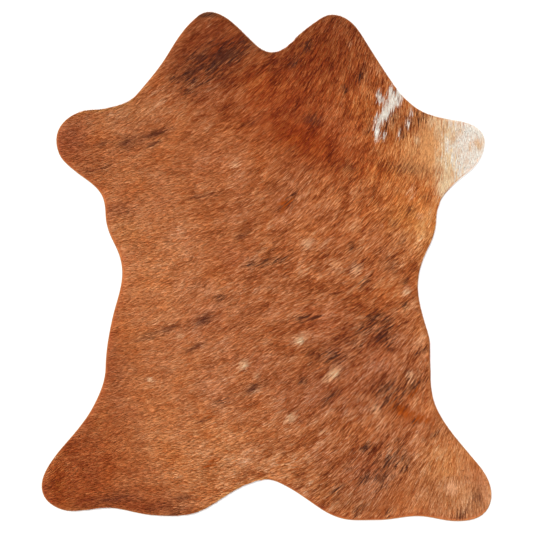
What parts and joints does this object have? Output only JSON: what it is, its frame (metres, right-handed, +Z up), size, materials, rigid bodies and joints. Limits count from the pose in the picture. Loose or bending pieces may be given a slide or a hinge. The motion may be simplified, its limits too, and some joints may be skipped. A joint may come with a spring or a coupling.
{
  "type": "cowhide rug",
  "caption": "Hair-on hide rug cut to the spread outline of the animal, red-brown and brindled with a cream foreleg, lying flat with its coat up.",
  "frame": {"origin": "on the underside, below the middle of the outline's box, on the surface that the rug lies on", "axes": "+Z up out of the coat, +Y from tail to neck, +X to the right with the neck at the top"},
  "size_m": [0.812, 0.919, 0.0053],
  "materials": {
    "hide_coat": "short lying hair, red-brown with darker brindle, a satin sheen along the hair, suede underside"
  },
  "bodies": {
    "root": {"hide": "hide_coat"}
  },
  "joints": []
}
